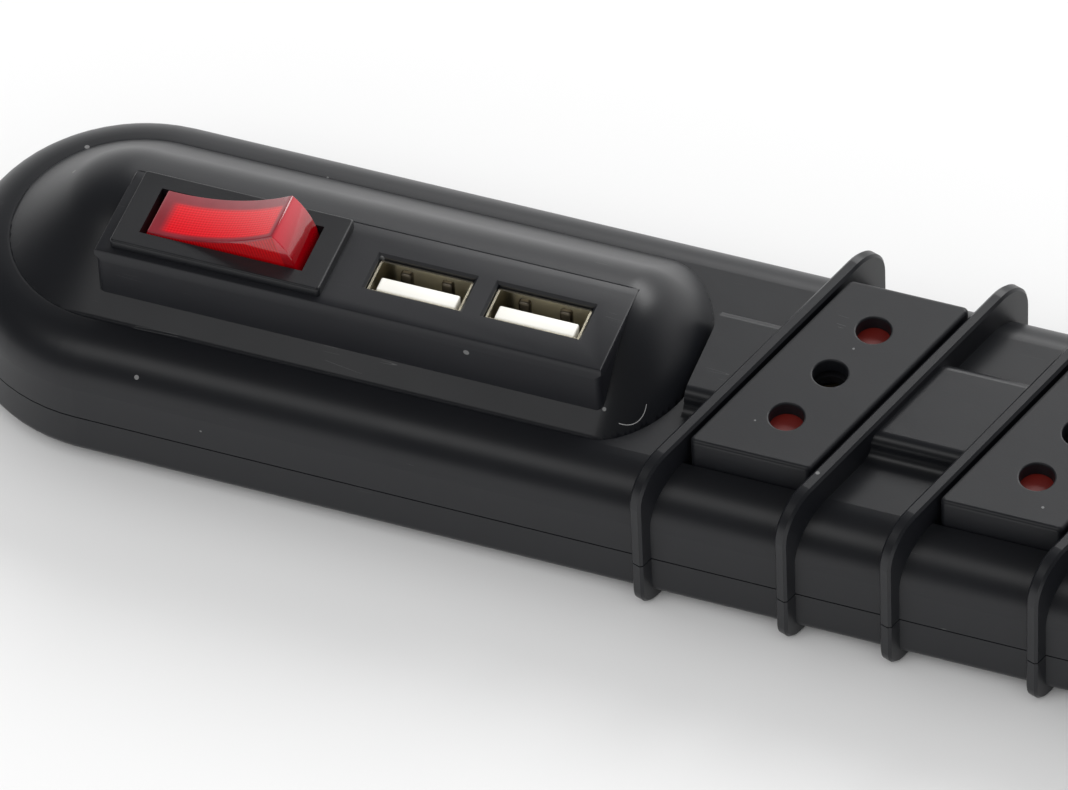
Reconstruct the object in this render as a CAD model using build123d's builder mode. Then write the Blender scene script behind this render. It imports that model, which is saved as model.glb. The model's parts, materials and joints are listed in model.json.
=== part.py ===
from build123d import *
from math import acos, atan2, cos, hypot, radians, sin, tan
import os

os.makedirs("parts", exist_ok=True)

# A power strip that lies on its ribs: a long two-part housing with rounded ends, a control pod
# with a lit rocker switch and two charging ports, and a row of slanted three-hole sockets.
# X runs along the strip, Y across it, Z up. The origin is under the middle, on the floor.

# Driving dimensions, in millimetres and degrees
body_width = 47.8
rib_foot = 1.6  # the ribs lift the housing off the floor
seam_z = 8.4
seam_groove = 0.2  # fine line left open round the joint of the two covers
seam_depth = 0.5
deck_z = 20.85
wall = 2.0
shoulder_radius = 6.8
bottom_radius = 1.5

socket_count = 4
socket_pitch = 34.3
socket_slant = 18.4
hole_spacing = 9.5
hole_diameter = 4.64
hole_rim = 0.25
face_rise = 4.5  # socket face above the deck
face_width = 15.96
face_thickness = 2.0
face_wall = 1.0
face_margin = 0.2  # end of a socket face to the start of the shoulder
groove = 0.6  # open groove between a socket face and its rib

rib_thickness = 1.8
rib_proud = 1.7
rib_top_radius = 6.0
rib_bottom_radius = 3.0
rib_edge = 0.35

hump_width = 19.3
hump_height = 3.2
hump_end_gap = 17.0  # hump to the right end

pod_length = 97.8
pod_end_gap = 7.1  # rounded end of the housing to rounded end of the pod
pod_crest = 10.55
pod_crown = 12.8
pod_corner = 8.4
pod_end_round = 8.0
pod_wall = 2.0
pocket_step = 2.5  # how far the pocket runs on behind the block
pod_overlap = 3.5  # how far the pod's rim laps over the deck opening
pod_to_socket = 17.6
tail_length = 44.6  # last socket to the right end

block_length = 71.3
block_width = 15.45
block_inset = 17.3  # rounded end of the pod to the block
block_back = 1.5  # the block's back edge, behind the middle line
block_height = 10.5
block_corner = 1.0
block_edge = 0.3

bezel_length = 29.7
bezel_width = 13.5
bezel_height = 1.45
bezel_inset = 1.9
switch_length = 26.6
switch_width = 11.2
switch_depth = 15.5
rocker_opening_length = 23.1
rocker_opening_width = 8.4
rocker_radius = 11.0
rocker_peak = 5.9
rocker_dip = 1.4
rocker_skirt = 3.0
rocker_wall = 1.1
rocker_tilt = 15.0
pivot_drop = 3.0
pivot_radius = 0.8
side_gap = 0.25

port_pitch = 16.6
port_centre_inset = 28.0  # right end of the block to the middle of the first port
port_length = 13.1
port_width = 5.7
port_depth = 14.0
port_metal = 0.3
port_sunk = 0.8
port_lead_in = 0.35
tongue_length = 11.1
tongue_thickness = 1.9
tongue_sunk = 0.6
tongue_front_gap = 0.45
port_floor = 1.0
tongue_depth = 9.0

shutter_thickness = 1.0
retainer_thickness = 1.2

bar_z = 9.0
bar_width = 6.0
bar_thickness = 0.8
cup_radius = 2.9
cup_bore = 2.05
cup_top = 20.5

inlet_radius = 4.0
inlet_z = 14.0
collar_length = 2.0
collar_wall = 1.5
screw_radius = 1.25
screw_length = 12.0
left_screw_inset = 19.0
left_screw_reach = 15.0
right_screw_inset = 15.0
right_screw_reach = 12.0
screw_head_radius = 2.8
screw_head_height = 2.0
screw_sunk = 0.3
board_thickness = 1.6
clamp_thickness = 1.8
capacitor_radius = 2.6
capacitor_height = 7.5
wire_radius = 1.0

# Clearances
running = 0.04
snug = 0.05
slip = 0.15

# Worked-out places
half_width = body_width / 2
slant = radians(socket_slant)
strip_length = pod_end_gap + pod_length + pod_to_socket + (socket_count - 1) * socket_pitch + tail_length
left_end = -strip_length / 2
right_end = strip_length / 2
pod_left = left_end + pod_end_gap
pod_right = pod_left + pod_length
socket_xs = [pod_right + pod_to_socket + n * socket_pitch for n in range(socket_count)]
face_z = deck_z + face_rise
rib_top = face_z + snug
roof_z = deck_z - wall
floor_z = rib_foot + wall
face_half = half_width - shoulder_radius - face_margin
window_half = face_half + slip
rib_inner = face_width / 2 + groove
block_left = pod_left + block_inset
block_right = block_left + block_length
block_front = block_back - block_width
block_y = (block_back + block_front) / 2
block_z = deck_z + block_height
switch_x = block_left + bezel_inset + bezel_length / 2
pivot_z = block_z + bezel_height - pivot_drop
port_xs = [block_right - port_centre_inset + n * port_pitch for n in range(2)]
port_top = block_z - port_sunk
board_top = port_top - port_depth
board_bottom = board_top - board_thickness


def slanted(half_across, half_length):
    """Corners of an outline with ends square to the strip and sides along the sockets' slant."""
    lean = half_length * tan(slant)
    run = half_across / cos(slant)
    return [
        (run + lean, half_length),
        (lean - run, half_length),
        (-run - lean, -half_length),
        (run - lean, -half_length),
    ]


def socket_plane(x, z):
    """Local X is square to the line of holes, local Y runs along it."""
    return Plane(origin=(x, 0, z), x_dir=(cos(slant), -sin(slant), 0), z_dir=(0, 0, 1))


def save(part, label):
    part.label = label
    export_step(part, f"parts/{label}.step")


# Screws and posts that the two covers share
mid_x = (socket_xs[socket_count // 2 - 1] + socket_xs[socket_count // 2]) / 2
side_y = face_half
screw_spots = [
    (left_end + left_screw_inset, left_screw_reach),
    (left_end + left_screw_inset, -left_screw_reach),
    (mid_x + side_y * tan(slant), side_y),
    (mid_x - side_y * tan(slant), -side_y),
    (right_end - right_screw_inset, right_screw_reach),
    (right_end - right_screw_inset, -right_screw_reach),
]
boss_radius = 3.0
foot_boss_radius = 4.2
counterbore_z = rib_foot + screw_head_height + screw_sunk

# Forms of the control pod: a soft loaf with a flat-topped block let into its front slope
crown_z = pod_crest - pod_crown
reach_angle = atan2(-crown_z, face_half) + acos(pod_crown / hypot(face_half, crown_z))
tangent_y = pod_crown * cos(reach_angle)
tangent_z = crown_z + pod_crown * sin(reach_angle)
pod_axis_x = pod_left + face_half
across_pod = Plane(origin=(pod_axis_x, 0, deck_z), x_dir=(0, 1, 0), z_dir=(1, 0, 0))
along_pod = Plane(origin=(pod_axis_x, 0, deck_z), x_dir=(1, 0, 0), z_dir=(0, -1, 0))
pocket_left = block_left + pod_wall
pocket_right = block_right - pod_wall
pocket_front = block_front + pod_wall
pocket_back = block_back + pocket_step

with BuildPart() as pod_end_form:
    with BuildSketch(Plane.XY.offset(deck_z)):
        with Locations(((pod_left + pod_right) / 2, 0)):
            Rectangle(pod_length, 2 * face_half)
    extrude(amount=pod_crest + snug)
    corners = pod_end_form.edges().filter_by(Axis.Z).group_by(Axis.X)[-1]
    fillet(corners, pod_corner)
    rim = pod_end_form.faces().sort_by(Axis.Z)[-1].edges().sort_by(Axis.X)[1:]
    fillet(rim, pod_end_round)

with BuildPart() as block_form:
    with Locations(((block_left + block_right) / 2, block_y, deck_z)):
        Box(block_length, block_width, block_height, align=(Align.CENTER, Align.CENTER, Align.MIN))
    fillet(block_form.edges().filter_by(Axis.Z).group_by(Axis.Y)[0], block_corner)
    fillet(block_form.edges().group_by(Axis.Z)[-1], block_edge)

# Ribs run right round the housing, one on each side of every socket
rib_offset = rib_inner + rib_thickness / 2
rib_xs = [x + side * rib_offset / cos(slant) for x in socket_xs for side in (-1, 1)]
rib_across = (body_width + 2 * rib_proud) / cos(slant)

with BuildPart() as rib_rings:
    for x in rib_xs:
        middle = Plane(
            origin=(x, 0, 0), x_dir=(sin(slant), cos(slant), 0), z_dir=(cos(slant), -sin(slant), 0)
        )
        with BuildSketch(middle.offset(-rib_thickness / 2)):
            with Locations((0, rib_top / 2)):
                Rectangle(rib_across, rib_top)
        extrude(amount=rib_thickness)
    upright = rib_rings.edges().filter_by(GeomType.LINE).filter_by(
        lambda e: abs(e.length - rib_thickness) < 0.01
    )
    fillet(upright.group_by(Axis.Z)[-1], rib_top_radius)
    fillet(upright.group_by(Axis.Z)[0], rib_bottom_radius)
    chamfer(rib_rings.faces().filter_by(GeomType.PLANE).filter_by(
        lambda f: f.area > rib_across * rib_top / 2
    ).edges(), rib_edge)

# Top cover: rounded shoulders, a hump along the middle, the ribs, and a window for each socket
hump_left = pod_right - hump_width
hump_right = right_end - hump_end_gap
deck_opening_left = block_left
deck_opening_right = pod_right - pod_corner + slip
deck_opening_half = face_half - pod_overlap
inlet_plane = Plane(origin=(left_end, 0, inlet_z), x_dir=(0, 1, 0), z_dir=(-1, 0, 0))

with BuildPart() as hollow:
    with BuildSketch(Plane.XY.offset(seam_z)):
        SlotOverall(strip_length - 2 * wall, body_width - 2 * wall)
    extrude(amount=roof_z - seam_z)
    fillet(hollow.edges().group_by(Axis.Z)[-1], shoulder_radius - wall)

with BuildPart() as top_cover:
    with BuildSketch(Plane.XY.offset(seam_z)):
        SlotOverall(strip_length, body_width)
    extrude(amount=deck_z - seam_z)
    fillet(top_cover.edges().group_by(Axis.Z)[-1], shoulder_radius)
    with BuildSketch(Plane.XY.offset(deck_z)):
        with Locations(((hump_left + hump_right) / 2, 0)):
            SlotOverall(hump_right - hump_left, hump_width - hump_height)
    extrude(amount=hump_height)
    fillet(top_cover.edges().group_by(Axis.Z)[-1], hump_height / 2)
    foot = top_cover.edges().filter_by(
        lambda e: abs(e.center().Z - deck_z) < 0.01 and abs(e.center().Y) < hump_width / 2
    )
    fillet(foot, hump_height / 2 - snug)
    add(pod_end_form.part, mode=Mode.SUBTRACT)
    add(rib_rings.part)
    split(bisect_by=Plane.XY.offset(seam_z), keep=Keep.TOP)
    add(hollow.part, mode=Mode.SUBTRACT)
    with BuildSketch(Plane.XY.offset(seam_z)):
        Rectangle(strip_length + 2, body_width + 4 * rib_proud)
        SlotOverall(strip_length - 2 * seam_depth, body_width - 2 * seam_depth, mode=Mode.SUBTRACT)
    extrude(amount=seam_groove, mode=Mode.SUBTRACT)
    # the windows that the socket faces stand in
    for x in socket_xs:
        with BuildSketch(Plane((x, 0, roof_z - 1))):
            Polygon(*slanted(rib_inner, window_half), align=None)
        extrude(amount=face_rise + wall + 5, mode=Mode.SUBTRACT)
    # the opening under the control pod
    with BuildSketch(Plane.XY.offset(roof_z - 1)):
        with Locations(((deck_opening_left + deck_opening_right) / 2, 0)):
            Rectangle(deck_opening_right - deck_opening_left, 2 * deck_opening_half)
    extrude(amount=wall + 2, mode=Mode.SUBTRACT)
    # screw bosses, each with a pilot hole
    with BuildSketch(Plane.XY.offset(seam_z)):
        with Locations(*screw_spots):
            Circle(boss_radius)
    extrude(amount=roof_z - seam_z + 1)
    with BuildSketch(Plane.XY.offset(seam_z)):
        with Locations(*screw_spots):
            Circle(screw_radius + snug)
    extrude(amount=roof_z - seam_z - 1, mode=Mode.SUBTRACT)
    # the cord inlet, a collar in the rounded end
    with BuildSketch(inlet_plane.offset(-wall - collar_length)):
        Circle(inlet_radius + collar_wall)
    extrude(amount=collar_length + wall / 2)
    with BuildSketch(inlet_plane.offset(1)):
        Circle(inlet_radius)
    extrude(amount=-wall - collar_length - 2, mode=Mode.SUBTRACT)

save(top_cover.part, "top_cover")

# Bottom cover: a shallow tray with the lower ends of the ribs, screw feet and rests inside
bar_ys = (-hole_spacing * cos(slant), 0.0, hole_spacing * cos(slant))
gap_xs = [x + socket_pitch / 2 for x in socket_xs]
rest_xs = [socket_xs[0] - socket_pitch / 2] + gap_xs
rest_half = bar_ys[2] + bar_width / 2 + 1.0
board_left = block_right - 37.5
board_right = block_right - 1.0
board_front = block_front - 1.0
board_back = 9.0
post_radius = 2.0
post_spots = [
    (x, y) for x in (board_left + 2.5, board_right - 2.5) for y in (board_front + 2.2, board_back - 4)
]
clamp_x = left_end + 11.0
clamp_post_reach = 8.0
clamp_z = 14.6

with BuildPart() as bottom_cover:
    with BuildSketch(Plane.XY.offset(rib_foot)):
        SlotOverall(strip_length, body_width)
    extrude(amount=seam_z - rib_foot)
    fillet(bottom_cover.edges().group_by(Axis.Z)[0], bottom_radius)
    add(rib_rings.part)
    split(bisect_by=Plane.XY.offset(seam_z), keep=Keep.BOTTOM)
    with BuildSketch(Plane.XY.offset(floor_z)):
        SlotOverall(strip_length - 2 * wall, body_width - 2 * wall)
    extrude(amount=seam_z - floor_z, mode=Mode.SUBTRACT)
    with BuildSketch(Plane.XY.offset(floor_z)):
        with Locations(*screw_spots):
            Circle(foot_boss_radius)
    extrude(amount=seam_z - floor_z)
    for spot in screw_spots:
        with BuildSketch(Plane((*spot, rib_foot))):
            Circle(screw_head_radius + slip)
        extrude(amount=screw_head_height + screw_sunk, mode=Mode.SUBTRACT)
        with BuildSketch(Plane((*spot, rib_foot))):
            Circle(screw_radius + slip)
        extrude(amount=seam_z - rib_foot, mode=Mode.SUBTRACT)
    # low walls that carry the three bus bars
    with BuildSketch(Plane.XY.offset(floor_z)):
        with Locations(*[(x, 0) for x in rest_xs]):
            Rectangle(wall, 2 * rest_half)
    extrude(amount=bar_z - floor_z)
    # posts for the charging board and for the cord clamp
    with BuildSketch(Plane.XY.offset(floor_z)):
        with Locations(*post_spots):
            Circle(post_radius)
    extrude(amount=board_bottom - floor_z)
    with BuildSketch(Plane.XY.offset(floor_z)):
        with Locations((clamp_x, clamp_post_reach), (clamp_x, -clamp_post_reach)):
            Circle(boss_radius)
    extrude(amount=clamp_z - floor_z)
    with BuildSketch(Plane.XY.offset(clamp_z)):
        with Locations((clamp_x, clamp_post_reach), (clamp_x, -clamp_post_reach)):
            Circle(screw_radius + snug)
    extrude(amount=-7, mode=Mode.SUBTRACT)

save(bottom_cover.part, "bottom_cover")

# The control pod sits on the deck
with BuildPart() as control_cover:
    with BuildSketch(across_pod):
        with BuildLine():
            Polyline((-tangent_y, tangent_z), (-face_half, 0), (face_half, 0), (tangent_y, tangent_z))
            ThreePointArc((tangent_y, tangent_z), (0, pod_crest), (-tangent_y, tangent_z))
        make_face()
    extrude(amount=pod_length)
    with BuildSketch(along_pod):
        with BuildLine():
            Polyline((0, pod_crest), (0, 0), (face_half, 0), (tangent_y, tangent_z))
            middle_angle = (reach_angle + radians(90)) / 2
            ThreePointArc(
                (tangent_y, tangent_z),
                (pod_crown * cos(middle_angle), crown_z + pod_crown * sin(middle_angle)),
                (0, pod_crest),
            )
        make_face()
    revolve(axis=Axis((pod_axis_x, 0, 0), (0, 0, 1)))
    add(pod_end_form.part, mode=Mode.INTERSECT)
    add(block_form.part)
    with BuildSketch(Plane.XY.offset(block_z)):
        with Locations(((block_left + block_right) / 2, block_y)):
            Rectangle(block_length, block_width)
    extrude(amount=2, mode=Mode.SUBTRACT)
    # pocket from below, then the openings for the switch and the two ports
    with BuildSketch(Plane.XY.offset(deck_z)):
        with Locations(((pocket_left + pocket_right) / 2, (pocket_front + pocket_back) / 2)):
            Rectangle(pocket_right - pocket_left, pocket_back - pocket_front)
    extrude(amount=block_height - pod_wall, mode=Mode.SUBTRACT)
    with BuildSketch(Plane.XY.offset(block_z + 1)):
        with Locations((switch_x, block_y)):
            Rectangle(switch_length + 2 * slip, switch_width + 2 * slip)
    extrude(amount=-pod_wall - 2, mode=Mode.SUBTRACT)
    for x in port_xs:
        with BuildSketch(Plane.XY.offset(block_z)):
            with Locations((x, block_y)):
                Rectangle(port_length + 2 * slip, port_width + 2 * slip)
        extrude(amount=-pod_wall - 1, mode=Mode.SUBTRACT)
        with BuildSketch(Plane.XY.offset(block_z)):
            with Locations((x, block_y)):
                Rectangle(
                    port_length + 2 * slip + 2 * port_lead_in, port_width + 2 * slip + 2 * port_lead_in
                )
        extrude(amount=-port_lead_in, taper=45, mode=Mode.SUBTRACT)

save(control_cover.part, "control_cover")

# Socket faces: separate mouldings that stand up through the windows, each with three round holes
hole_spots = [(0, n * hole_spacing) for n in (-1, 0, 1)]
flange_z = roof_z - 1.5
flange_lap = 1.5
pocket_roof = face_z - face_thickness
retainer_z = pocket_roof - shutter_thickness - 2 * snug - retainer_thickness
pad_length = 4.7
pad_width = 5.6
lug_width = 3.0
lug_length = 1.2
spring_across = pad_width / 2 + lug_width / 2
spring_end = 0.6
spring_wire = 0.2
spring_radius = 0.4
spring_turns = 6
ledge = 1.0

for number, x in enumerate(socket_xs, start=1):
    with BuildPart() as socket_face:
        with BuildSketch(Plane((x, 0, flange_z))):
            Polygon(*slanted(face_width / 2, face_half), align=None)
        extrude(amount=face_z - flange_z)
        fillet(socket_face.edges().filter_by(Axis.Z), 0.8)
        fillet(socket_face.faces().sort_by(Axis.Z)[-1].edges(), 0.55)
        with BuildSketch(Plane((x, 0, flange_z))):
            Polygon(*slanted(rib_inner + flange_lap, face_half), align=None)
        extrude(amount=roof_z - flange_z)
        with BuildSketch(Plane((x, 0, flange_z))):
            Polygon(*slanted(face_width / 2 - face_wall, face_half - face_wall), align=None)
        extrude(amount=pocket_roof - flange_z, mode=Mode.SUBTRACT)
        # a stop between the two shutters that the springs push against, beside the middle hole
        with BuildSketch(socket_plane(x, retainer_z + retainer_thickness)):
            with Locations((spring_across, 0)):
                Rectangle(lug_width - 2 * snug, 2 * spring_end)
        extrude(amount=pocket_roof - retainer_z - retainer_thickness)
        # ledges under the retainer, at the two ends of the pocket
        for side in (-1, 1):
            with BuildSketch(Plane((x, 0, retainer_z))):
                with Locations((side * (face_half - face_wall) * tan(slant), side * (face_half - face_wall))):
                    Rectangle(4, 2 * ledge)
            extrude(amount=-retainer_thickness)
        with BuildSketch(socket_plane(x, face_z)):
            with Locations(*hole_spots):
                Circle(hole_diameter / 2)
        extrude(amount=-face_thickness, mode=Mode.SUBTRACT)
        rims = socket_face.edges().filter_by(GeomType.CIRCLE).filter_by(
            lambda e: abs(e.radius - hole_diameter / 2) < 0.01 and abs(e.center().Z - face_z) < 0.01
        )
        fillet(rims, hole_rim)
    save(socket_face.part, f"socket_face_{number}")

    with BuildPart() as retainer:
        with BuildSketch(Plane((x, 0, retainer_z))):
            Polygon(*slanted(face_width / 2 - face_wall - snug, face_half - face_wall - snug), align=None)
        extrude(amount=retainer_thickness)
        with BuildSketch(socket_plane(x, retainer_z)):
            with Locations(*hole_spots):
                Circle(hole_diameter / 2)
        extrude(amount=retainer_thickness, mode=Mode.SUBTRACT)
    save(retainer.part, f"shutter_retainer_{number}")

    # each shutter covers an outer hole and slides in towards the middle
    shutter_z = retainer_z + retainer_thickness + snug / 2
    lug_y = hole_spacing - (pad_length - lug_length) / 2
    for side, label in ((-1, "live"), (1, "neutral")):
        with BuildPart() as shutter:
            with BuildSketch(socket_plane(x, shutter_z)):
                with Locations((0, side * hole_spacing)):
                    Rectangle(pad_width, pad_length)
                with Locations((spring_across - slip, side * lug_y)):
                    Rectangle(lug_width, lug_length)
            extrude(amount=shutter_thickness)
        save(shutter.part, f"{label}_shutter_{number}")

    # their return springs, between each lug and the stop
    spring_length = hole_spacing - pad_length / 2 - spring_end - 2 * snug - spring_wire
    with BuildPart() as springs:
        for side in (-1, 1):
            level = socket_plane(x, shutter_z + shutter_thickness / 2)
            begin = level.from_local_coords((spring_across, side * (spring_end + snug + spring_wire / 2)))
            along = level.from_local_coords((0, side)) - level.origin
            with BuildLine():
                turns = Helix(
                    spring_length / spring_turns, spring_length, spring_radius, center=begin, direction=along
                )
            with BuildSketch(Plane(origin=turns @ 0, z_dir=turns % 0)):
                Circle(spring_wire / 2)
            sweep(path=turns)
    save(springs.part, f"shutter_springs_{number}")

# Bus bars: one strip each with a split cup under every hole
for label, y in zip(("live_bus_bar", "earth_bus_bar", "neutral_bus_bar"), bar_ys):
    bar_left = rest_xs[0] - 4.0
    bar_right = rest_xs[-1] + 3.0
    cup_spots = [(x + y * tan(slant), y) for x in socket_xs]
    with BuildPart() as bus_bar:
        with BuildSketch(Plane.XY.offset(bar_z)):
            with Locations(((bar_left + bar_right) / 2, y)):
                Rectangle(bar_right - bar_left, bar_width)
        extrude(amount=bar_thickness)
        with BuildSketch(Plane.XY.offset(bar_z)):
            with Locations(*cup_spots):
                Circle(cup_radius)
        extrude(amount=cup_top - bar_z)
        with BuildSketch(Plane.XY.offset(bar_z + bar_thickness)):
            with Locations(*cup_spots):
                Circle(cup_bore)
        extrude(amount=cup_top - bar_z, mode=Mode.SUBTRACT)
        with BuildSketch(Plane.XY.offset(cup_top)):
            with Locations(*cup_spots):
                Rectangle(2 * cup_radius + 1, bar_thickness)
        extrude(amount=-7, mode=Mode.SUBTRACT)
    save(bus_bar.part, label)

# Rocker switch: a black housing whose bezel stands proud of the block
bezel_z = block_z + bezel_height
well_z = pivot_z - 6.4
switch_bottom = block_z - switch_depth
lamp_radius = 1.3
lamp_length = 9.0
lamp_z = pivot_z - pivot_radius - 0.4 - lamp_radius
pivot_half = rocker_opening_width / 2 + 1.0
blade_xs = [switch_x + n * 8.0 for n in (-1, 0, 1)]
blade_depth = 6.5
blade_width = 4.8
blade_thickness = 0.8

with BuildPart() as switch_housing:
    with BuildSketch(Plane.XY.offset(block_z)):
        with Locations((switch_x, block_y)):
            Rectangle(bezel_length, bezel_width)
    extrude(amount=bezel_height)
    fillet(switch_housing.edges().filter_by(Axis.Z), 0.5)
    fillet(switch_housing.edges().group_by(Axis.Z)[-1], 0.3)
    with BuildSketch(Plane.XY.offset(block_z)):
        with Locations((switch_x, block_y)):
            Rectangle(switch_length, switch_width)
    extrude(amount=-switch_depth)
    with BuildSketch(Plane.XY.offset(bezel_z)):
        with Locations((switch_x, block_y)):
            Rectangle(rocker_opening_length, rocker_opening_width)
    extrude(amount=well_z - bezel_z, mode=Mode.SUBTRACT)
    # the stand that the lamp lies on
    with BuildSketch(Plane.XY.offset(well_z)):
        with Locations((switch_x, block_y)):
            Rectangle(3.0, 2.0)
    extrude(amount=lamp_z - lamp_radius - well_z)
    with BuildSketch(Plane((switch_x, block_y, pivot_z), z_dir=(0, 1, 0)).offset(-pivot_half)):
        Circle(pivot_radius + running / 2)
    extrude(amount=2 * pivot_half, mode=Mode.SUBTRACT)
    with BuildSketch(Plane.XY.offset(switch_bottom)):
        with Locations(*[(x, block_y) for x in blade_xs]):
            Rectangle(blade_thickness, blade_width)
    extrude(amount=2, mode=Mode.SUBTRACT)

save(switch_housing.part, "switch_housing")

with BuildPart() as switch_blades:
    with BuildSketch(Plane.XY.offset(switch_bottom + 2)):
        with Locations(*[(x, block_y) for x in blade_xs]):
            Rectangle(blade_thickness, blade_width)
    extrude(amount=-2 - blade_depth)

save(switch_blades.part, "switch_blades")

# The rocker is a hollow sector about its pivot, dished on top; it rests with its right end up
rocker_plane = Plane(
    origin=(switch_x, block_y, pivot_z),
    x_dir=(cos(radians(rocker_tilt)), 0, sin(radians(rocker_tilt))),
    z_dir=(0, -1, 0),
)
rocker_half = rocker_opening_width / 2 - side_gap
skirt_reach = (rocker_radius**2 - rocker_skirt**2) ** 0.5
peak_reach = (rocker_radius**2 - rocker_peak**2) ** 0.5

with BuildPart() as rocker:
    with BuildSketch(rocker_plane.offset(-rocker_half)):
        with BuildLine():
            ThreePointArc(
                (-peak_reach, rocker_peak), (0, rocker_peak - rocker_dip), (peak_reach, rocker_peak)
            )
            ThreePointArc((peak_reach, rocker_peak), (rocker_radius, 0), (skirt_reach, -rocker_skirt))
            Line((skirt_reach, -rocker_skirt), (-skirt_reach, -rocker_skirt))
            ThreePointArc((-skirt_reach, -rocker_skirt), (-rocker_radius, 0), (-peak_reach, rocker_peak))
        make_face()
    extrude(amount=2 * rocker_half)
    with BuildSketch(rocker_plane.offset(-rocker_half + rocker_wall)):
        with Locations((0, (rocker_peak - rocker_dip - rocker_wall - rocker_skirt) / 2)):
            Rectangle(
                2 * (skirt_reach - 2 * rocker_wall), rocker_peak - rocker_dip - rocker_wall + rocker_skirt
            )
    extrude(amount=2 * (rocker_half - rocker_wall), mode=Mode.SUBTRACT)
    with BuildSketch(rocker_plane.offset(-rocker_half)):
        Circle(pivot_radius + running)
    extrude(amount=2 * rocker_half, mode=Mode.SUBTRACT)

save(rocker.part, "rocker")

with BuildPart() as rocker_pin:
    with BuildSketch(Plane((switch_x, block_y, pivot_z), z_dir=(0, 1, 0)).offset(-pivot_half + snug)):
        Circle(pivot_radius)
    extrude(amount=2 * (pivot_half - snug))

save(rocker_pin.part, "rocker_pin")

with BuildPart() as neon_lamp:
    with BuildSketch(Plane((switch_x, block_y, lamp_z), z_dir=(1, 0, 0)).offset(-lamp_length / 2)):
        Circle(lamp_radius)
    extrude(amount=lamp_length)
    fillet(neon_lamp.edges(), lamp_radius * 0.6)

save(neon_lamp.part, "neon_lamp")

# Charging ports: a metal shell with a tongue in each, both standing on the board
for number, x in enumerate(port_xs, start=1):
    with BuildPart() as port_shell:
        with BuildSketch(Plane.XY.offset(board_top)):
            with Locations((x, block_y)):
                Rectangle(port_length, port_width)
        extrude(amount=port_depth)
        fillet(port_shell.edges().filter_by(Axis.Z), 0.4)
        with BuildSketch(Plane.XY.offset(board_top + port_floor)):
            with Locations((x, block_y)):
                Rectangle(port_length - 2 * port_metal, port_width - 2 * port_metal)
        extrude(amount=port_depth, mode=Mode.SUBTRACT)
    save(port_shell.part, f"port_shell_{number}")

    tongue_y = block_y - port_width / 2 + port_metal + tongue_front_gap + tongue_thickness / 2
    with BuildPart() as port_tongue:
        with BuildSketch(Plane.XY.offset(board_top + port_floor)):
            with Locations((x, block_y)):
                Rectangle(port_length - 2 * port_metal - 2 * snug, port_width - 2 * port_metal - 2 * snug)
        extrude(amount=port_depth - port_floor - tongue_sunk - tongue_depth)
        with BuildSketch(Plane.XY.offset(board_top + port_floor)):
            with Locations((x, tongue_y)):
                Rectangle(tongue_length, tongue_thickness)
        extrude(amount=port_depth - port_floor - tongue_sunk)
        fillet(port_tongue.edges().group_by(Axis.Z)[-1], 0.3)
    save(port_tongue.part, f"port_tongue_{number}")

# Charging board, on four posts, with its transformer and two capacitors
with BuildPart() as charging_board:
    with BuildSketch(Plane.XY.offset(board_bottom)):
        with Locations(((board_left + board_right) / 2, (board_front + board_back) / 2)):
            Rectangle(board_right - board_left, board_back - board_front)
    extrude(amount=board_thickness)

save(charging_board.part, "charging_board")

parts_y = pocket_back - 3.6
with BuildPart() as transformer:
    with BuildSketch(Plane.XY.offset(board_top)):
        with Locations(((port_xs[0] + port_xs[1]) / 2, parts_y)):
            Rectangle(11.0, 6.0)
    extrude(amount=2.0)
    with BuildSketch(Plane.XY.offset(board_top + 2.0)):
        with Locations(((port_xs[0] + port_xs[1]) / 2, parts_y)):
            Rectangle(8.0, 4.6)
    extrude(amount=5.0)
    with BuildSketch(Plane.XY.offset(board_top + 7.0)):
        with Locations(((port_xs[0] + port_xs[1]) / 2, parts_y)):
            Rectangle(11.0, 6.0)
    extrude(amount=2.0)

save(transformer.part, "transformer")

with BuildPart() as capacitors:
    with BuildSketch(Plane.XY.offset(board_top)):
        with Locations((port_xs[0] - 4.0, parts_y), (port_xs[1] + 2.0, parts_y)):
            Circle(capacitor_radius)
    extrude(amount=capacitor_height)
    fillet(capacitors.edges().group_by(Axis.Z)[-1], 0.4)

save(capacitors.part, "capacitors")

# Wires from the switch blades to the live and neutral bars, low over the floor
wire_z = floor_z + wire_radius + 1.0
wire_lead = 9.0
for label, blade_x, y in (("live_wire", blade_xs[2], bar_ys[0]), ("neutral_wire", blade_xs[1], bar_ys[2])):
    bar_end = rest_xs[0] - 2.5
    blade_end = switch_bottom - blade_depth
    with BuildPart() as wire:
        with BuildLine():
            run = FilletPolyline(
                (blade_x, block_y, blade_end),
                (blade_x, block_y, wire_z),
                (blade_x + wire_lead, y, wire_z),
                (bar_end, y, wire_z),
                (bar_end, y, bar_z),
                radius=1.2,
            )
        with BuildSketch(Plane(origin=run @ 0, z_dir=run % 0)):
            Circle(wire_radius)
        sweep(path=run)
    save(wire.part, label)

# Cover screws from below, and the cord clamp with its own two screws
with BuildPart() as cover_screws:
    for spot in screw_spots:
        with BuildSketch(Plane((*spot, counterbore_z))):
            Circle(screw_head_radius)
        extrude(amount=-screw_head_height)
        with BuildSketch(Plane((*spot, counterbore_z - screw_head_height))):
            Rectangle(0.6, 3.6)
            Rectangle(3.6, 0.6)
        extrude(amount=1.0, mode=Mode.SUBTRACT)
        with BuildSketch(Plane((*spot, counterbore_z))):
            Circle(screw_radius)
        extrude(amount=screw_length)

save(cover_screws.part, "cover_screws")

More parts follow.
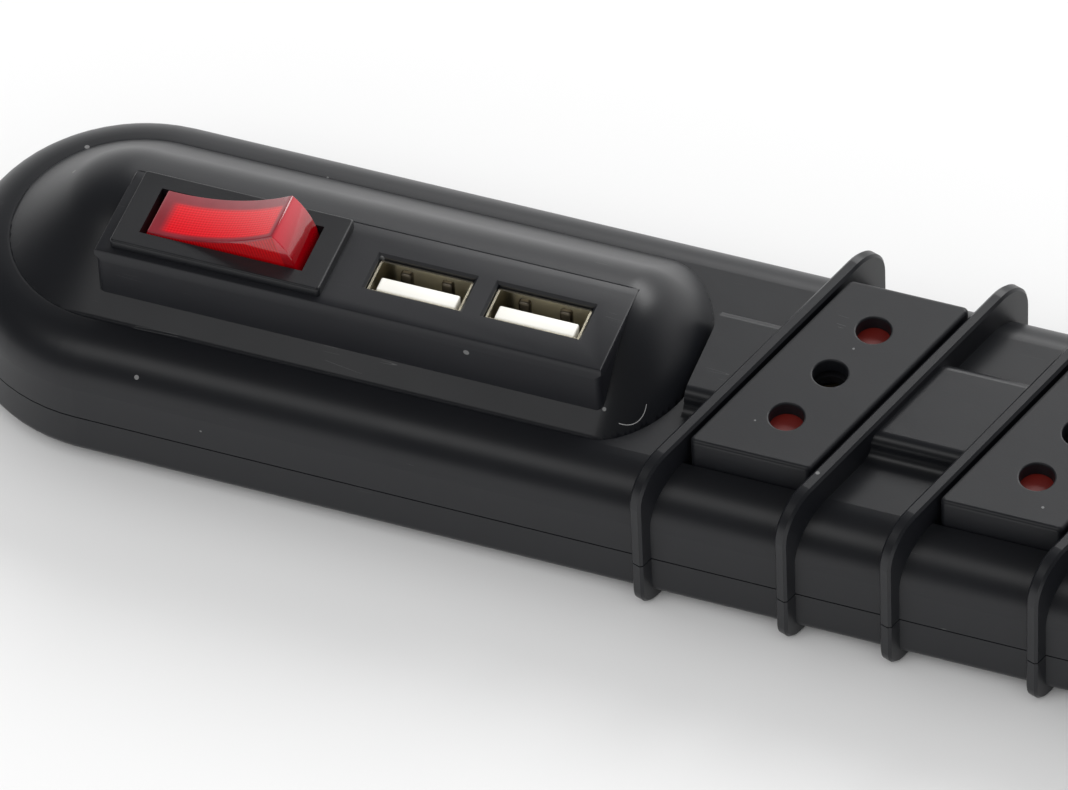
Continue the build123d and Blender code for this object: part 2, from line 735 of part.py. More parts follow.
clamp_spots = [(clamp_x, clamp_post_reach), (clamp_x, -clamp_post_reach)]
with BuildPart() as cord_clamp:
    with BuildSketch(Plane.XY.offset(clamp_z)):
        with Locations((clamp_x, 0)):
            SlotOverall(2 * clamp_post_reach + 6.0, 6.0, rotation=90)
        with Locations(*clamp_spots):
            Circle(screw_radius + slip, mode=Mode.SUBTRACT)
    extrude(amount=clamp_thickness)

save(cord_clamp.part, "cord_clamp")

with BuildPart() as clamp_screws:
    for spot in clamp_spots:
        with BuildSketch(Plane((*spot, clamp_z + clamp_thickness))):
            Circle(screw_head_radius - 0.4)
        extrude(amount=1.4)
        with BuildSketch(Plane((*spot, clamp_z + clamp_thickness))):
            Circle(screw_radius)
        extrude(amount=-7.0)

save(clamp_screws.part, "clamp_screws")
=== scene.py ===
import json
import math

import bmesh
import bpy
from mathutils import Matrix, Vector


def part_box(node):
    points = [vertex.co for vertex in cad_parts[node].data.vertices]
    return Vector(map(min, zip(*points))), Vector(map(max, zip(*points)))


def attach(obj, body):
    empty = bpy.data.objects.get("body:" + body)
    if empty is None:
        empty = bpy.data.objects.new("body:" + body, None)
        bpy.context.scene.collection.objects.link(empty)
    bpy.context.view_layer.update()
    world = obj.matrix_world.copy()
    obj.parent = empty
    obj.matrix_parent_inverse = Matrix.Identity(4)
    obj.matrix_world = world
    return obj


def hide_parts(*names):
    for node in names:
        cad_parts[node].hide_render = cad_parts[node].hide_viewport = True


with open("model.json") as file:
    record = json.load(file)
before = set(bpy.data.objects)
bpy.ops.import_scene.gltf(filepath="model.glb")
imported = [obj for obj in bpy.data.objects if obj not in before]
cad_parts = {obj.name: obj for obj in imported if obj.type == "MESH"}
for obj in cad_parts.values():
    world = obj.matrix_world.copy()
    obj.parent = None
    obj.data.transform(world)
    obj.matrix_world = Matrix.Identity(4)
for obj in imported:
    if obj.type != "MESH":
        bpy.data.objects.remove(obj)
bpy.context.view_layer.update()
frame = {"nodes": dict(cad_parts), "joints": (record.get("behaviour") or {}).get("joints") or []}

scene = bpy.context.scene
nodes = frame["nodes"]
joints = {joint["name"]: joint for joint in frame["joints"]}
mm = 0.001
print("frame loaded:", len(nodes), "nodes")


class Wire:
    def __init__(self, tree, socket):
        self.tree = tree
        self.socket = socket

    def maths(self, operation, first, second):
        return addNode(self.tree, "ShaderNodeMath", {"operation": operation}, {0: first, 1: second})

    def __add__(self, other):
        return self.maths("ADD", self, other)

    def __radd__(self, other):
        return self.maths("ADD", other, self)

    def __sub__(self, other):
        return self.maths("SUBTRACT", self, other)

    def __rsub__(self, other):
        return self.maths("SUBTRACT", other, self)

    def __mul__(self, other):
        return self.maths("MULTIPLY", self, other)

    def __rmul__(self, other):
        return self.maths("MULTIPLY", other, self)

    def __truediv__(self, other):
        return self.maths("DIVIDE", self, other)

    def __gt__(self, other):
        return self.maths("GREATER_THAN", self, other)

    def __lt__(self, other):
        return self.maths("LESS_THAN", self, other)


def addNode(tree, kind, settings=None, values=None, output=0):
    node = tree.nodes.new(kind)
    for key, value in (settings or {}).items():
        if key == "stops":
            for i, (place, colour) in enumerate(value):
                stop = node.color_ramp.elements[i] if i < 2 else node.color_ramp.elements.new(place)
                stop.position = place
                stop.color = (*colour, 1) if len(colour) == 3 else colour
        else:
            setattr(node, key, value)
    for key, value in (values or {}).items():
        if isinstance(value, Wire):
            tree.links.new(value.socket, node.inputs[key])
        else:
            node.inputs[key].default_value = value
    return Wire(tree, node.outputs[output])


class Finish:
    def __init__(self, name, **constants):
        self.material = bpy.data.materials.new(name)
        self.material.use_nodes = True
        self.tree = self.material.node_tree
        self.surface = self.tree.nodes["Principled BSDF"]
        self.place = self.node("ShaderNodeTexCoord", output="Object")
        for key, value in constants.items():
            self.surface.inputs[key.replace("_", " ")].default_value = value

    def node(self, kind, settings=None, values=None, output=0):
        return addNode(self.tree, kind, settings, values, output)

    def feed(self, socket, wire):
        self.tree.links.new(wire.socket, self.surface.inputs[socket])

    def noise(self, scale, detail=2.0, rough=0.5, place=None):
        values = {"Vector": place or self.place, "Scale": scale, "Detail": detail, "Roughness": rough}
        return self.node("ShaderNodeTexNoise", None, values)

    def stretched(self, turn, stretch, offset=(0, 0, 0)):
        values = {"Vector": self.place, "Location": offset, "Rotation": turn, "Scale": stretch}
        return self.node("ShaderNodeMapping", None, values)

    def smooth(self, value, low, high):
        values = {"Value": value, "From Min": low, "From Max": high, "To Min": 0.0, "To Max": 1.0}
        return self.node("ShaderNodeMapRange", {"interpolation_type": "SMOOTHSTEP"}, values)

    def mix(self, factor, first, second):
        values = {"Factor": factor, 6: first, 7: second}
        return self.node("ShaderNodeMix", {"data_type": "RGBA"}, values, output=2)

    def bump(self, height, strength, distance, normal=None):
        values = {"Height": height, "Strength": strength, "Distance": distance}
        if normal:
            values["Normal"] = normal
        return self.node("ShaderNodeBump", None, values)

    def axes(self, place=None):
        parts = self.node("ShaderNodeSeparateXYZ", None, {"Vector": place or self.place}).socket.node
        return [Wire(self.tree, output) for output in parts.outputs]


def grey(level):
    return (level, level, level, 1)


# moulded plastic: fine grain, faint flow mottling, dust and hairline scratches
plasticLook = {
    "grainScale": 3800.0,
    "grainStrength": 0.16,
    "dustScale": 330.0,
    "dustSize": 0.075,
    "scratchScale": 900.0,
}


def dust(finish, share, seed):
    cells = finish.node(
        "ShaderNodeTexVoronoi", None,
        {"Vector": finish.stretched((0, 0, seed), (1, 1, 1)), "Scale": plasticLook["dustScale"]},
    ).socket.node
    pick = finish.axes(Wire(finish.tree, cells.outputs["Color"]))
    near = Wire(finish.tree, cells.outputs["Distance"]) < pick[1] * plasticLook["dustSize"] * 2
    return near * (pick[0] < share)


def scratches(finish, turn, share):
    along = finish.stretched((0, 0, turn), (0.035, 1, 0.6))
    lines = finish.noise(plasticLook["scratchScale"], 0.0, 0.5, along)
    thin = ((lines - 0.5) * (lines - 0.5)) < 0.000009
    where = finish.smooth(finish.noise(160.0, 1.0), 1 - share, 1.02 - share)
    return thin * where


def plastic(name, colour, roughness, specular=0.5, dusty=0.05, worn=0.3):
    finish = Finish(name, Specular_IOR_Level=specular)
    mottle = finish.noise(55.0, 3.0, 0.6)
    lighter = tuple(c * 1.35 + 0.001 for c in colour)
    base = finish.mix(mottle, (*colour, 1), (*lighter, 1))
    specks = dust(finish, dusty, 0.3)
    hair = scratches(finish, 0.6, worn) + scratches(finish, -0.9, worn * 0.8)
    base = finish.mix(finish.smooth(specks + hair * 0.5, 0.0, 1.4), base, grey(0.2))
    finish.feed("Base Color", base)
    finish.feed("Roughness", mottle * 0.12 + (roughness - 0.06) + specks * 0.2)
    grain = finish.noise(plasticLook["grainScale"], 1.0)
    flow = finish.bump(mottle, 0.12, 0.0004)
    finish.feed("Normal", finish.bump(grain, plasticLook["grainStrength"], 0.00003, flow))
    return finish


# one curved fibre mark on the pod's right front flank
fibreMark = {"fromEnd": 7.5 * mm, "across": -11.0 * mm, "radius": 3.2 * mm, "width": 0.07 * mm}


def addFibre(finish):
    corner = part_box("control_cover")[1]
    centre = (corner.x - fibreMark["fromEnd"], fibreMark["across"], 0)
    flat = finish.node("ShaderNodeVectorMath", {"operation": "MULTIPLY"}, {0: finish.place, 1: (1, 1, 0)})
    offset = finish.node("ShaderNodeVectorMath", {"operation": "SUBTRACT"}, {0: flat, 1: centre})
    reach = finish.node("ShaderNodeVectorMath", {"operation": "LENGTH"}, {0: offset}, output=1)
    along, across, up = finish.axes(offset)
    ring = (reach > fibreMark["radius"]) * (reach < fibreMark["radius"] + fibreMark["width"])
    mark = ring * (along > 0.6 * mm) * (across < 0.4 * mm)
    before = finish.surface.inputs["Base Color"].links[0].from_socket
    finish.feed("Base Color", finish.mix(mark * 0.8, Wire(finish.tree, before), grey(0.4)))


def metal(name, colour, roughness, brushed=(1, 1, 1)):
    finish = Finish(name, Metallic=1.0)
    lines = finish.noise(1500.0, 2.0, 0.6, finish.stretched((0, 0, 0), brushed))
    blotch = finish.noise(90.0, 2.0)
    dim = tuple(c * 0.72 for c in colour)
    finish.feed("Base Color", finish.mix(blotch, (*colour, 1), (*dim, 1)))
    finish.feed("Roughness", lines * 0.16 + (roughness - 0.08))
    finish.feed("Normal", finish.bump(lines, 0.12, 0.00003))
    return finish


print("shader tools ready")


def makePiece(name, bm, finish, body="housing", replaced=(), sharpAngle=32):
    mesh = bpy.data.meshes.new(name)
    bm.to_mesh(mesh)
    bm.free()
    mesh.materials.append(finish.material)
    mesh.polygons.foreach_set("use_smooth", [True] * len(mesh.polygons))
    mesh.set_sharp_from_angle(angle=math.radians(sharpAngle))
    piece = bpy.data.objects.new(name, mesh)
    scene.collection.objects.link(piece)
    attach(piece, body)
    if replaced:
        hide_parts(*replaced)
    return piece


def cut(bm, point, normal, clear=False):
    everything = bm.verts[:] + bm.edges[:] + bm.faces[:]
    return bmesh.ops.bisect_plane(
        bm, geom=everything, plane_co=point, plane_no=normal, clear_inner=clear, dist=1e-7
    )


podLow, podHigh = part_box("control_cover")
bezelLow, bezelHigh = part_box("switch_housing")
portBoxes = [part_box(f"port_shell_{n}") for n in (1, 2)]
blockShape = {
    "bezelInset": 1.9 * mm,
    "bezelHeight": 1.45 * mm,
    "width": 15.45 * mm,
    "rightOfPort": 28.0 * mm,
    "wall": 1.5 * mm,
    "roof": 2.0 * mm,
    "corner": 1.0 * mm,
    "edge": 0.28 * mm,
    "portGap": 0.15 * mm,
    "portLeadIn": 0.35 * mm,
    "switchHalf": 13.45 * mm,
    "switchReach": 5.75 * mm,
}
bezelMiddleY = (bezelLow.y + bezelHigh.y) / 2
blockLeft = bezelLow.x - blockShape["bezelInset"]
blockRight = (portBoxes[0][0].x + portBoxes[0][1].x) / 2 + blockShape["rightOfPort"]
blockFront = bezelMiddleY - blockShape["width"] / 2
blockBack = bezelMiddleY + blockShape["width"] / 2
blockTop = bezelHigh.z - blockShape["bezelHeight"]
deckZ = podLow.z

podShape = {
    "crown": 12.8 * mm,
    "flankStart": 8.41 * mm,
    "endSlope": 2.2,
    "endBow": 16.0,
    "blend": 13.0 * mm,
    "step": 0.5 * mm,
    "wall": 1.6 * mm,
}


def podHeight(x, y):
    crown = podShape["crown"]
    start = podShape["flankStart"]
    halfWidth = (podHigh.y - podLow.y) / 2
    axisX = podLow.x + halfWidth
    reach = math.hypot(x - axisX, y) if x < axisX else abs(y)
    crest = podHigh.z - deckZ
    if reach < start:
        across = crest - crown + math.sqrt(crown**2 - reach**2)
    else:
        fall = math.sqrt(crown**2 - start**2)
        across = crest - crown + fall - (reach - start) * start / fall
    end = podShape["endSlope"] * (podHigh.x - x - y * y * podShape["endBow"])
    overlap = max(podShape["blend"] - abs(across - end), 0)
    return min(across, end) - overlap**2 / (4 * podShape["blend"])


def buildPod(finish):
    bm = bmesh.new()
    size = podHigh - podLow
    middle = (podHigh + podLow) / 2
    columns = round(size.x / podShape["step"])
    rows = round(size.y / podShape["step"])
    spread = Matrix.Translation((middle.x, middle.y, 0)) @ Matrix.Diagonal((size.x / 2, size.y / 2, 1, 1))
    bmesh.ops.create_grid(bm, x_segments=columns, y_segments=rows, size=1, matrix=spread)
    for vert in bm.verts:
        vert.co.z = deckZ + podHeight(vert.co.x, vert.co.y)
    cut(bm, (0, 0, deckZ - 0.02 * mm), (0, 0, 1), clear=True)
    inset = 0.3 * mm
    sides = ((blockLeft + inset, 0, (1, 0, 0)), (blockRight - inset, 0, (1, 0, 0)),
             (0, blockFront + inset, (0, 1, 0)), (0, blockBack - inset, (0, 1, 0)))
    for x, y, normal in sides:
        cut(bm, (x, y, 0), normal)
    inside = [
        face for face in bm.faces
        if blockLeft + inset < face.calc_center_median().x < blockRight - inset
        and blockFront + inset < face.calc_center_median().y < blockBack - inset
    ]
    bmesh.ops.delete(bm, geom=inside, context="FACES")
    piece = makePiece("controlPod", bm, finish, replaced=["control_cover"], sharpAngle=60)
    shell = piece.modifiers.new("wall", "SOLIDIFY")
    shell.thickness = podShape["wall"]
    shell.offset = -1
    return piece


def buildBlock(finish):
    bm = bmesh.new()
    wall = blockShape["wall"]
    gap = blockShape["portGap"]
    spread = Matrix.Translation(((blockLeft + blockRight) / 2, bezelMiddleY, blockTop)) @ Matrix.Diagonal(
        ((blockRight - blockLeft) / 2, (blockBack - blockFront) / 2, 1, 1)
    )
    bmesh.ops.create_grid(bm, x_segments=1, y_segments=1, size=1, matrix=spread)
    bodyHalf = blockShape["switchHalf"]
    bodyReach = blockShape["switchReach"]
    switchX = (bezelLow.x + bezelHigh.x) / 2
    openings = [(switchX - bodyHalf, switchX + bodyHalf, bezelMiddleY - bodyReach, bezelMiddleY + bodyReach)]
    for low, high in portBoxes:
        openings.append((low.x - gap, high.x + gap, low.y - gap, high.y + gap))
    xs = {blockLeft + wall, blockRight - wall}.union(*[{o[0], o[1]} for o in openings])
    ys = {blockFront + wall, blockBack - wall}.union(*[{o[2], o[3]} for o in openings])
    for x in sorted(xs):
        cut(bm, (x, 0, 0), (1, 0, 0))
    for y in sorted(ys):
        cut(bm, (0, y, 0), (0, 1, 0))

    def within(point, area):
        return area[0] < point.x < area[1] and area[2] < point.y < area[3]

    holes = [f for f in bm.faces if any(within(f.calc_center_median(), o) for o in openings)]
    bmesh.ops.delete(bm, geom=holes, context="FACES")
    made = bmesh.ops.extrude_face_region(bm, geom=bm.faces[:])["geom"]
    lower = [g for g in made if isinstance(g, bmesh.types.BMVert)]
    bmesh.ops.translate(bm, verts=lower, vec=(0, 0, -blockShape["roof"]))
    hollow = (blockLeft + wall, blockRight - wall, blockFront + wall, blockBack - wall)
    rim = [
        face for face in bm.faces
        if abs(face.calc_center_median().z - (blockTop - blockShape["roof"])) < 1e-6
        and not within(face.calc_center_median(), hollow)
    ]
    made = bmesh.ops.extrude_face_region(bm, geom=rim)["geom"]
    lowest = [g for g in made if isinstance(g, bmesh.types.BMVert)]
    bmesh.ops.translate(bm, verts=lowest, vec=(0, 0, deckZ - blockTop + blockShape["roof"]))
    bmesh.ops.recalc_face_normals(bm, faces=bm.faces[:])
    flat = [e for e in bm.edges if len(e.link_faces) == 2 and e.calc_face_angle() < 0.01]
    bmesh.ops.dissolve_edges(bm, edges=flat, use_verts=True, use_face_split=False)

    def near(a, b):
        return abs(a - b) < 1e-6

    def outer(edge, x=None, y=None):
        return all((x is None or near(v.co.x, x)) and (y is None or near(v.co.y, y)) for v in edge.verts)

    upright = [
        e for e in bm.edges
        if abs(e.verts[0].co.z - e.verts[1].co.z) > 3 * mm
        and outer(e, y=blockFront) and (outer(e, x=blockLeft) or outer(e, x=blockRight))
    ]
    bmesh.ops.bevel(
        bm, geom=upright, offset=blockShape["corner"], segments=5, profile=0.5, affect="EDGES", material=-1
    )

    def onTop(edge):
        return all(near(v.co.z, blockTop) for v in edge.verts) and edge.calc_face_angle(0) > 0.5

    leadIns = [
        e for e in bm.edges
        if onTop(e) and any(within((e.verts[0].co + e.verts[1].co) / 2, (
            o[0] - gap, o[1] + gap, o[2] - gap, o[3] + gap)) for o in openings[1:])
    ]
    bmesh.ops.bevel(
        bm, geom=leadIns, offset=blockShape["portLeadIn"], segments=1, profile=0.5, affect="EDGES", material=-1
    )
    bmesh.ops.remove_doubles(bm, verts=bm.verts[:], dist=1e-6)

    def outerWall(face):
        centre = face.calc_center_median()
        return abs(face.normal.z) < 0.1 and not within(centre, (
            blockLeft + 1.2 * mm, blockRight - 1.2 * mm, blockFront + 1.2 * mm, blockBack - 1.2 * mm))

    rimTop = [e for e in bm.edges if onTop(e) and any(outerWall(f) for f in e.link_faces)]
    bmesh.ops.bevel(
        bm, geom=rimTop, offset=blockShape["edge"], segments=2, profile=0.5, affect="EDGES", material=-1
    )
    return makePiece("switchBlock", bm, finish)


rockerShape = {
    "radius": 11.0 * mm,
    "peak": 5.9 * mm,
    "dip": 1.4 * mm,
    "skirt": 3.0 * mm,
    "tilt": 15.0,
    "edge": 0.22 * mm,
    "wall": 0.9 * mm,
}


def buildRocker(finish):
    bm = bmesh.new()
    low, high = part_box("rocker")
    pivot = Vector(joints["rocker_hinge"]["pos_m"])
    radius = rockerShape["radius"]
    peak = rockerShape["peak"]
    dip = rockerShape["dip"]
    peakReach = math.sqrt(radius**2 - peak**2)
    skirtReach = math.sqrt(radius**2 - rockerShape["skirt"] ** 2)
    dishRadius = (peakReach**2 + dip**2) / (2 * dip)
    dishAngle = 2 * math.asin(peakReach / dishRadius)
    sideAngle = math.asin(peak / radius) + math.asin(rockerShape["skirt"] / radius)
    axis = (0, 1, 0)

    def arc(start, centre, angle, steps):
        first = bm.verts.new(start)
        bmesh.ops.spin(
            bm, geom=[first], cent=centre, axis=axis, dvec=(0, 0, 0), angle=angle, steps=steps, use_merge=False
        )

    arc((-peakReach, 0, peak), (0, 0, peak - dip + dishRadius), -dishAngle, 28)
    arc((peakReach, 0, peak), (0, 0, 0), sideAngle, 16)
    arc((-skirtReach, 0, -rockerShape["skirt"]), (0, 0, 0), sideAngle, 16)
    bmesh.ops.remove_doubles(bm, verts=bm.verts[:], dist=1e-6)
    bm.edges.new([vert for vert in bm.verts if len(vert.link_edges) == 1])
    bmesh.ops.contextual_create(bm, geom=bm.edges[:])
    made = bmesh.ops.extrude_face_region(bm, geom=bm.faces[:])["geom"]
    far = [g for g in made if isinstance(g, bmesh.types.BMVert)]
    bmesh.ops.translate(bm, verts=far, vec=(0, high.y - low.y, 0))
    bmesh.ops.recalc_face_normals(bm, faces=bm.faces[:])
    bottom = [f for f in bm.faces if f.normal.z < -0.9 and f.calc_center_median().z < -2 * mm]
    corners = [
        e for e in bm.edges
        if len(e.link_faces) == 2 and e.calc_face_angle(0) > 0.5 and not any(f in bottom for f in e.link_faces)
    ]
    bmesh.ops.delete(bm, geom=bottom, context="FACES_ONLY")
    bmesh.ops.bevel(
        bm, geom=corners, offset=rockerShape["edge"], segments=3, profile=0.5, affect="EDGES", material=-1
    )
    place = Matrix.Translation((pivot.x, low.y, pivot.z)) @ Matrix.Rotation(
        -math.radians(rockerShape["tilt"]), 4, "Y"
    )
    bmesh.ops.transform(bm, matrix=place, verts=bm.verts[:])
    piece = makePiece("rockerCap", bm, finish, "rocker", ["rocker"], 25)
    shell = piece.modifiers.new("wall", "SOLIDIFY")
    shell.thickness = rockerShape["wall"]
    shell.offset = -1
    return piece


def rockerRedWithPaintedLight():
    # the ribbed inside shows through the clear red moulding; a faint emission in the moulding's own colour is a
    # painted glow
    finish = Finish("rockerRedWithPaintedLight", Roughness=0.12, Specular_IOR_Level=0.5, Coat_Weight=0.6, Coat_Roughness=0.05,
                    Emission_Strength=0.1)
    pivot = Vector(joints["rocker_hinge"]["pos_m"])
    turn = (0, math.radians(rockerShape["tilt"]), 0)
    centred = finish.node("ShaderNodeVectorMath", {"operation": "SUBTRACT"},
                          {0: finish.place, 1: tuple(pivot)})
    local = finish.node("ShaderNodeMapping", None, {"Vector": centred, "Rotation": turn, "Scale": (1000, 1000, 1000)})
    along, across, up = finish.axes(local)
    fromTop = finish.smooth(up - 4.5 - 1.4 * (along * along) / 86.2, -0.5, -0.15)
    leftGap = finish.smooth(along, -8.2, -6.6)
    rightGap = 1 - finish.smooth(along, 8.2, 9.0)
    backGap = 1 - finish.smooth(across, 1.5, 2.4)
    frontGap = finish.smooth(across, -3.6, -3.0)
    zone = leftGap * rightGap * backGap * frontGap * fromTop
    lengthwise = finish.node("ShaderNodeMath", {"operation": "SINE"}, {0: across * 14.0})
    crosswise = finish.node("ShaderNodeMath", {"operation": "SINE"}, {0: along * 15.0})
    grid = lengthwise * 0.4 + crosswise * 0.28
    haze = finish.noise(260.0, 3.0, 0.6)
    cloudy = finish.mix(haze, (0.16, 0.012, 0.018, 1), (0.26, 0.03, 0.042, 1))
    bright = finish.mix(finish.smooth(grid, -0.8, 0.8), (0.5, 0.002, 0.006, 1), (0.72, 0.01, 0.02, 1))
    top = finish.mix(zone, cloudy, bright)
    side = finish.mix(finish.smooth(crosswise * finish.smooth(up, 0.5, 3.5), -0.9, 0.9),
                      (0.3, 0.001, 0.003, 1), (0.46, 0.003, 0.006, 1))
    base = finish.mix(fromTop, side, top)
    # painted shade and sheen: the end face is painted darker towards the bottom and lighter, pinker at the top
    endFace = finish.smooth(along, 9.2, 9.6)
    endShadeAndSheen = finish.mix(finish.smooth(up, 1.0, 5.2), (0.24, 0.0, 0.003, 1), (0.5, 0.03, 0.045, 1))
    base = finish.mix(endFace, base, endShadeAndSheen)
    finish.feed("Base Color", base)
    # painted glow: the moulding gives off a faint light in its own colour
    finish.feed("Emission Color", base)
    finish.feed("Normal", finish.bump(grid * zone, 0.2, 0.00005))
    return finish


portSpring = {"width": 1.7 * mm, "length": 3.4 * mm, "bulge": 0.55 * mm, "offset": 2.9 * mm, "depth": 2.6 * mm}


portTongue = {
    "length": 11.1 * mm, "thickness": 2.4 * mm, "sunk": 0.35 * mm, "depth": 9.0 * mm, "frontGap": 0.75 * mm,
    "edge": 0.25 * mm,
}


def buildTongues(finish):
    for number, (low, high) in enumerate(portBoxes, start=1):
        bm = bmesh.new()
        size = Vector((portTongue["length"], portTongue["thickness"], portTongue["depth"]))
        middle = Vector((
            (low.x + high.x) / 2,
            low.y + portTongue["frontGap"] + size.y / 2,
            high.z - portTongue["sunk"] - size.z / 2,
        ))
        place = Matrix.Translation(middle) @ Matrix.Diagonal((*size, 1))
        bmesh.ops.create_cube(bm, size=1, matrix=place)
        bmesh.ops.bevel(
            bm, geom=bm.edges[:], offset=portTongue["edge"], segments=3, profile=0.5, affect="EDGES", material=-1
        )
        makePiece(f"portTongue{number}", bm, finish, replaced=[f"port_tongue_{number}"])


def buildPortSprings(finish):
    for number, (low, high) in enumerate(portBoxes, start=1):
        bm = bmesh.new()
        middleX = (low.x + high.x) / 2
        innerBack = high.y - 0.3 * mm
        for side in (-1, 1):
            place = Matrix.Translation(
                (middleX + side * portSpring["offset"], innerBack, high.z - portSpring["depth"])
            ) @ Matrix.Diagonal((portSpring["width"], portSpring["bulge"] * 2, portSpring["length"], 1))
            made = bmesh.ops.create_cube(bm, size=1, matrix=place)["verts"]
            edges = list({e for v in made for e in v.link_edges})
            bmesh.ops.bevel(
                bm, geom=edges, offset=0.4 * mm, segments=4, profile=0.5, affect="EDGES", material=-1
            )
        makePiece(f"portSprings{number}", bm, finish)


black = (0.0062, 0.0068, 0.0088)
housingPlastic = plastic("housingPlastic", black, 0.36, 0.42, 0.05, 0.3)
podPlastic = plastic("podPlastic", black, 0.36, 0.42, 0.06, 0.32)
addFibre(podPlastic)
socketPlastic = plastic("socketPlastic", (0.0068, 0.0074, 0.0094), 0.4, 0.42, 0.05, 0.3)
blockPlastic = plastic("blockPlastic", (0.0075, 0.008, 0.0105), 0.42, 0.42, 0.07, 0.3)
switchPlastic = plastic("switchPlastic", (0.007, 0.0074, 0.009), 0.34, 0.42, 0.02, 0.15)
retainerPlastic = plastic("retainerPlastic", (0.01, 0.01, 0.012), 0.5)
# the shutters' red is darker than the moulding's own red: painted shade for the dim holes
shutterRedWithPaintedShade = plastic("shutterRedWithPaintedShade", (0.13, 0.008, 0.005), 0.4, 0.5, 0.02, 0.1)
tongueWhite = plastic("tongueWhite", (0.8, 0.79, 0.74), 0.35, 0.5, 0.01, 0.1)
clampPlastic = plastic("clampPlastic", (0.55, 0.55, 0.53), 0.45)
boardGreen = plastic("boardGreen", (0.03, 0.16, 0.07), 0.4)
wireBrown = plastic("wireBrown", (0.12, 0.05, 0.02), 0.45)
wireBlue = plastic("wireBlue", (0.03, 0.1, 0.35), 0.45)
coreBlack = plastic("coreBlack", (0.03, 0.03, 0.03), 0.6)
portMetal = metal("portMetal", (0.78, 0.72, 0.56), 0.24, (0.1, 1, 1))
# the port springs' steel is painted dark: painted shade for the depth of the port
portSpringSteelPaintedShade = metal("portSpringSteelPaintedShade", (0.16, 0.14, 0.11), 0.34)
springSteel = metal("springSteel", (0.62, 0.62, 0.64), 0.25)
screwSteel = metal("screwSteel", (0.58, 0.58, 0.6), 0.3)
brassStrip = metal("brassStrip", (0.78, 0.58, 0.28), 0.28, (0.08, 1, 1))
capacitorCan = metal("capacitorCan", (0.6, 0.6, 0.63), 0.3)
lampGlass = Finish("lampGlass", Transmission_Weight=0.9, IOR=1.45)
lampGlass.feed("Base Color", lampGlass.mix(lampGlass.noise(300.0), (0.95, 0.86, 0.78, 1), (0.9, 0.7, 0.6, 1)))
lampGlass.feed("Roughness", lampGlass.noise(500.0) * 0.1)
print("finishes made")

nodeFinishes = {
    "top_cover": housingPlastic, "bottom_cover": housingPlastic, "control_cover": podPlastic,
    "switch_housing": switchPlastic, "switch_blades": brassStrip, "rocker_pin": springSteel,
    "neon_lamp": lampGlass, "charging_board": boardGreen, "transformer": coreBlack,
    "capacitors": capacitorCan, "live_wire": wireBrown, "neutral_wire": wireBlue,
    "cover_screws": screwSteel, "clamp_screws": screwSteel, "cord_clamp": clampPlastic,
    "live_bus_bar": brassStrip, "earth_bus_bar": brassStrip, "neutral_bus_bar": brassStrip,
    "socket_face": socketPlastic, "shutter_retainer": retainerPlastic, "shutter_springs": springSteel,
    "live_shutter": shutterRedWithPaintedShade, "neutral_shutter": shutterRedWithPaintedShade, "port_shell": portMetal,
    "port_tongue": tongueWhite,
}
for name, node in nodes.items():
    family = name.rstrip("0123456789").rstrip("_")
    finish = nodeFinishes.get(family)
    if finish:
        node.data.materials.clear()
        node.data.materials.append(finish.material)
        for slot in node.material_slots:
            slot.material = finish.material
print("nodes finished")

buildPod(podPlastic)
buildBlock(blockPlastic)
buildRocker(rockerRedWithPaintedLight())
buildTongues(tongueWhite)
buildPortSprings(portSpringSteelPaintedShade)
print("pieces built")

studio = {"floorSize": 4.0, "floorLevel": 0.86, "skyLevel": 0.8, "background": 1.0,
          "mirrorLow": 0.06, "mirrorHigh": 0.9}


def buildFloor():
    bm = bmesh.new()
    bmesh.ops.create_grid(bm, x_segments=1, y_segments=1, size=studio["floorSize"] / 2)
    mesh = bpy.data.meshes.new("floor")
    bm.to_mesh(mesh)
    bm.free()
    floor = bpy.data.objects.new("floor", mesh)
    scene.collection.objects.link(floor)
    finish = Finish("floorWhite", Roughness=0.9, Specular_IOR_Level=0.0, Emission_Strength=0.0)
    level = studio["floorLevel"]
    finish.surface.inputs["Base Color"].default_value = grey(level)
    floor.data.materials.append(finish.material)


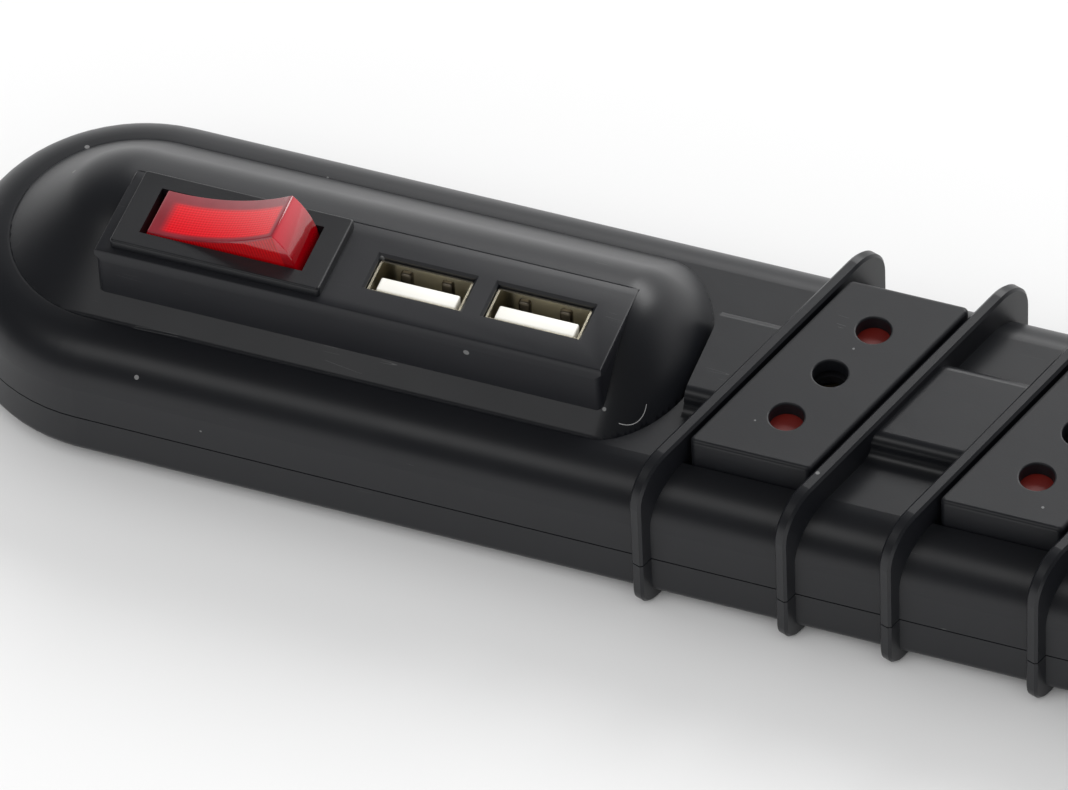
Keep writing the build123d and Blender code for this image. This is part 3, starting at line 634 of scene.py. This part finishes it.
def buildWorld():
    world = bpy.data.worlds.new("studio")
    scene.world = world
    world.use_nodes = True
    tree = world.node_tree
    tree.nodes.clear()
    path = tree.nodes.new("ShaderNodeLightPath")
    seen = addNode(tree, "ShaderNodeMath", {"operation": "MAXIMUM"}, {
        0: Wire(tree, path.outputs["Is Camera Ray"]), 1: Wire(tree, path.outputs["Is Transmission Ray"])
    })
    glossy = Wire(tree, path.outputs["Is Glossy Ray"])
    direction = addNode(tree, "ShaderNodeTexCoord", output="Generated")
    height = addNode(tree, "ShaderNodeSeparateXYZ", None, {"Vector": direction}).socket.node
    behind = Wire(tree, height.outputs["Y"])
    above = Wire(tree, height.outputs["Z"])
    values = {"Value": behind - above * 0.9, "From Min": -0.35, "From Max": 0.75, "To Min": studio["mirrorLow"], "To Max": studio["mirrorHigh"]}
    mirrored = addNode(tree, "ShaderNodeMapRange", {"interpolation_type": "SMOOTHSTEP"}, values)
    plain = studio["skyLevel"] + glossy * (mirrored - studio["skyLevel"])
    strength = plain + seen * (studio["background"] - plain)
    sky = addNode(tree, "ShaderNodeBackground", None, {"Color": grey(1), "Strength": strength})
    out = tree.nodes.new("ShaderNodeOutputWorld")
    tree.links.new(sky.socket, out.inputs["Surface"])


def addLamp(name, place, target, size, power, colour=(1, 1, 1)):
    lamp = bpy.data.lights.new(name, "AREA")
    lamp.shape = "RECTANGLE"
    lamp.size, lamp.size_y = size
    lamp.energy = power
    lamp.color = colour
    lampObject = bpy.data.objects.new(name, lamp)
    scene.collection.objects.link(lampObject)
    lampObject.location = place
    lampObject.rotation_mode = "QUATERNION"
    lampObject.rotation_quaternion = (Vector(target) - Vector(place)).to_track_quat("-Z", "Y")


faceLow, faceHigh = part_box("socket_face_1")
firstSocket = Vector(((faceLow.x + faceHigh.x) / 2, (faceLow.y + faceHigh.y) / 2, faceHigh.z))
cameraShape = {
    "azimuth": 22.2, "elevation": 47.6, "roll": -3.2,
    "offset": (0.26487, -0.75211, 0.87123), "lens": 303.4,
}
buildFloor()
buildWorld()
addLamp("frontSoftbox", (-0.35, -0.75, 1.0), (-0.05, 0, 0), (0.7, 0.5), 2.0)
addLamp("backSoftbox", (0.2, 1.1, 0.9), (-0.05, 0, 0), (1.2, 0.5), 11.0)

camera = bpy.data.cameras.new("camera")
camera.lens = cameraShape["lens"]
camera.sensor_width = 36
camera.clip_start = 0.05
cameraObject = bpy.data.objects.new("camera", camera)
scene.collection.objects.link(cameraObject)
aim = (
    Matrix.Rotation(math.radians(cameraShape["azimuth"]), 4, "Z")
    @ Matrix.Rotation(math.radians(90 - cameraShape["elevation"]), 4, "X")
    @ Matrix.Rotation(math.radians(cameraShape["roll"]), 4, "Z")
)
cameraObject.matrix_world = Matrix.Translation(firstSocket + Vector(cameraShape["offset"])) @ aim
scene.camera = cameraObject
scene.view_settings.view_transform = "Standard"
print("stage ready")
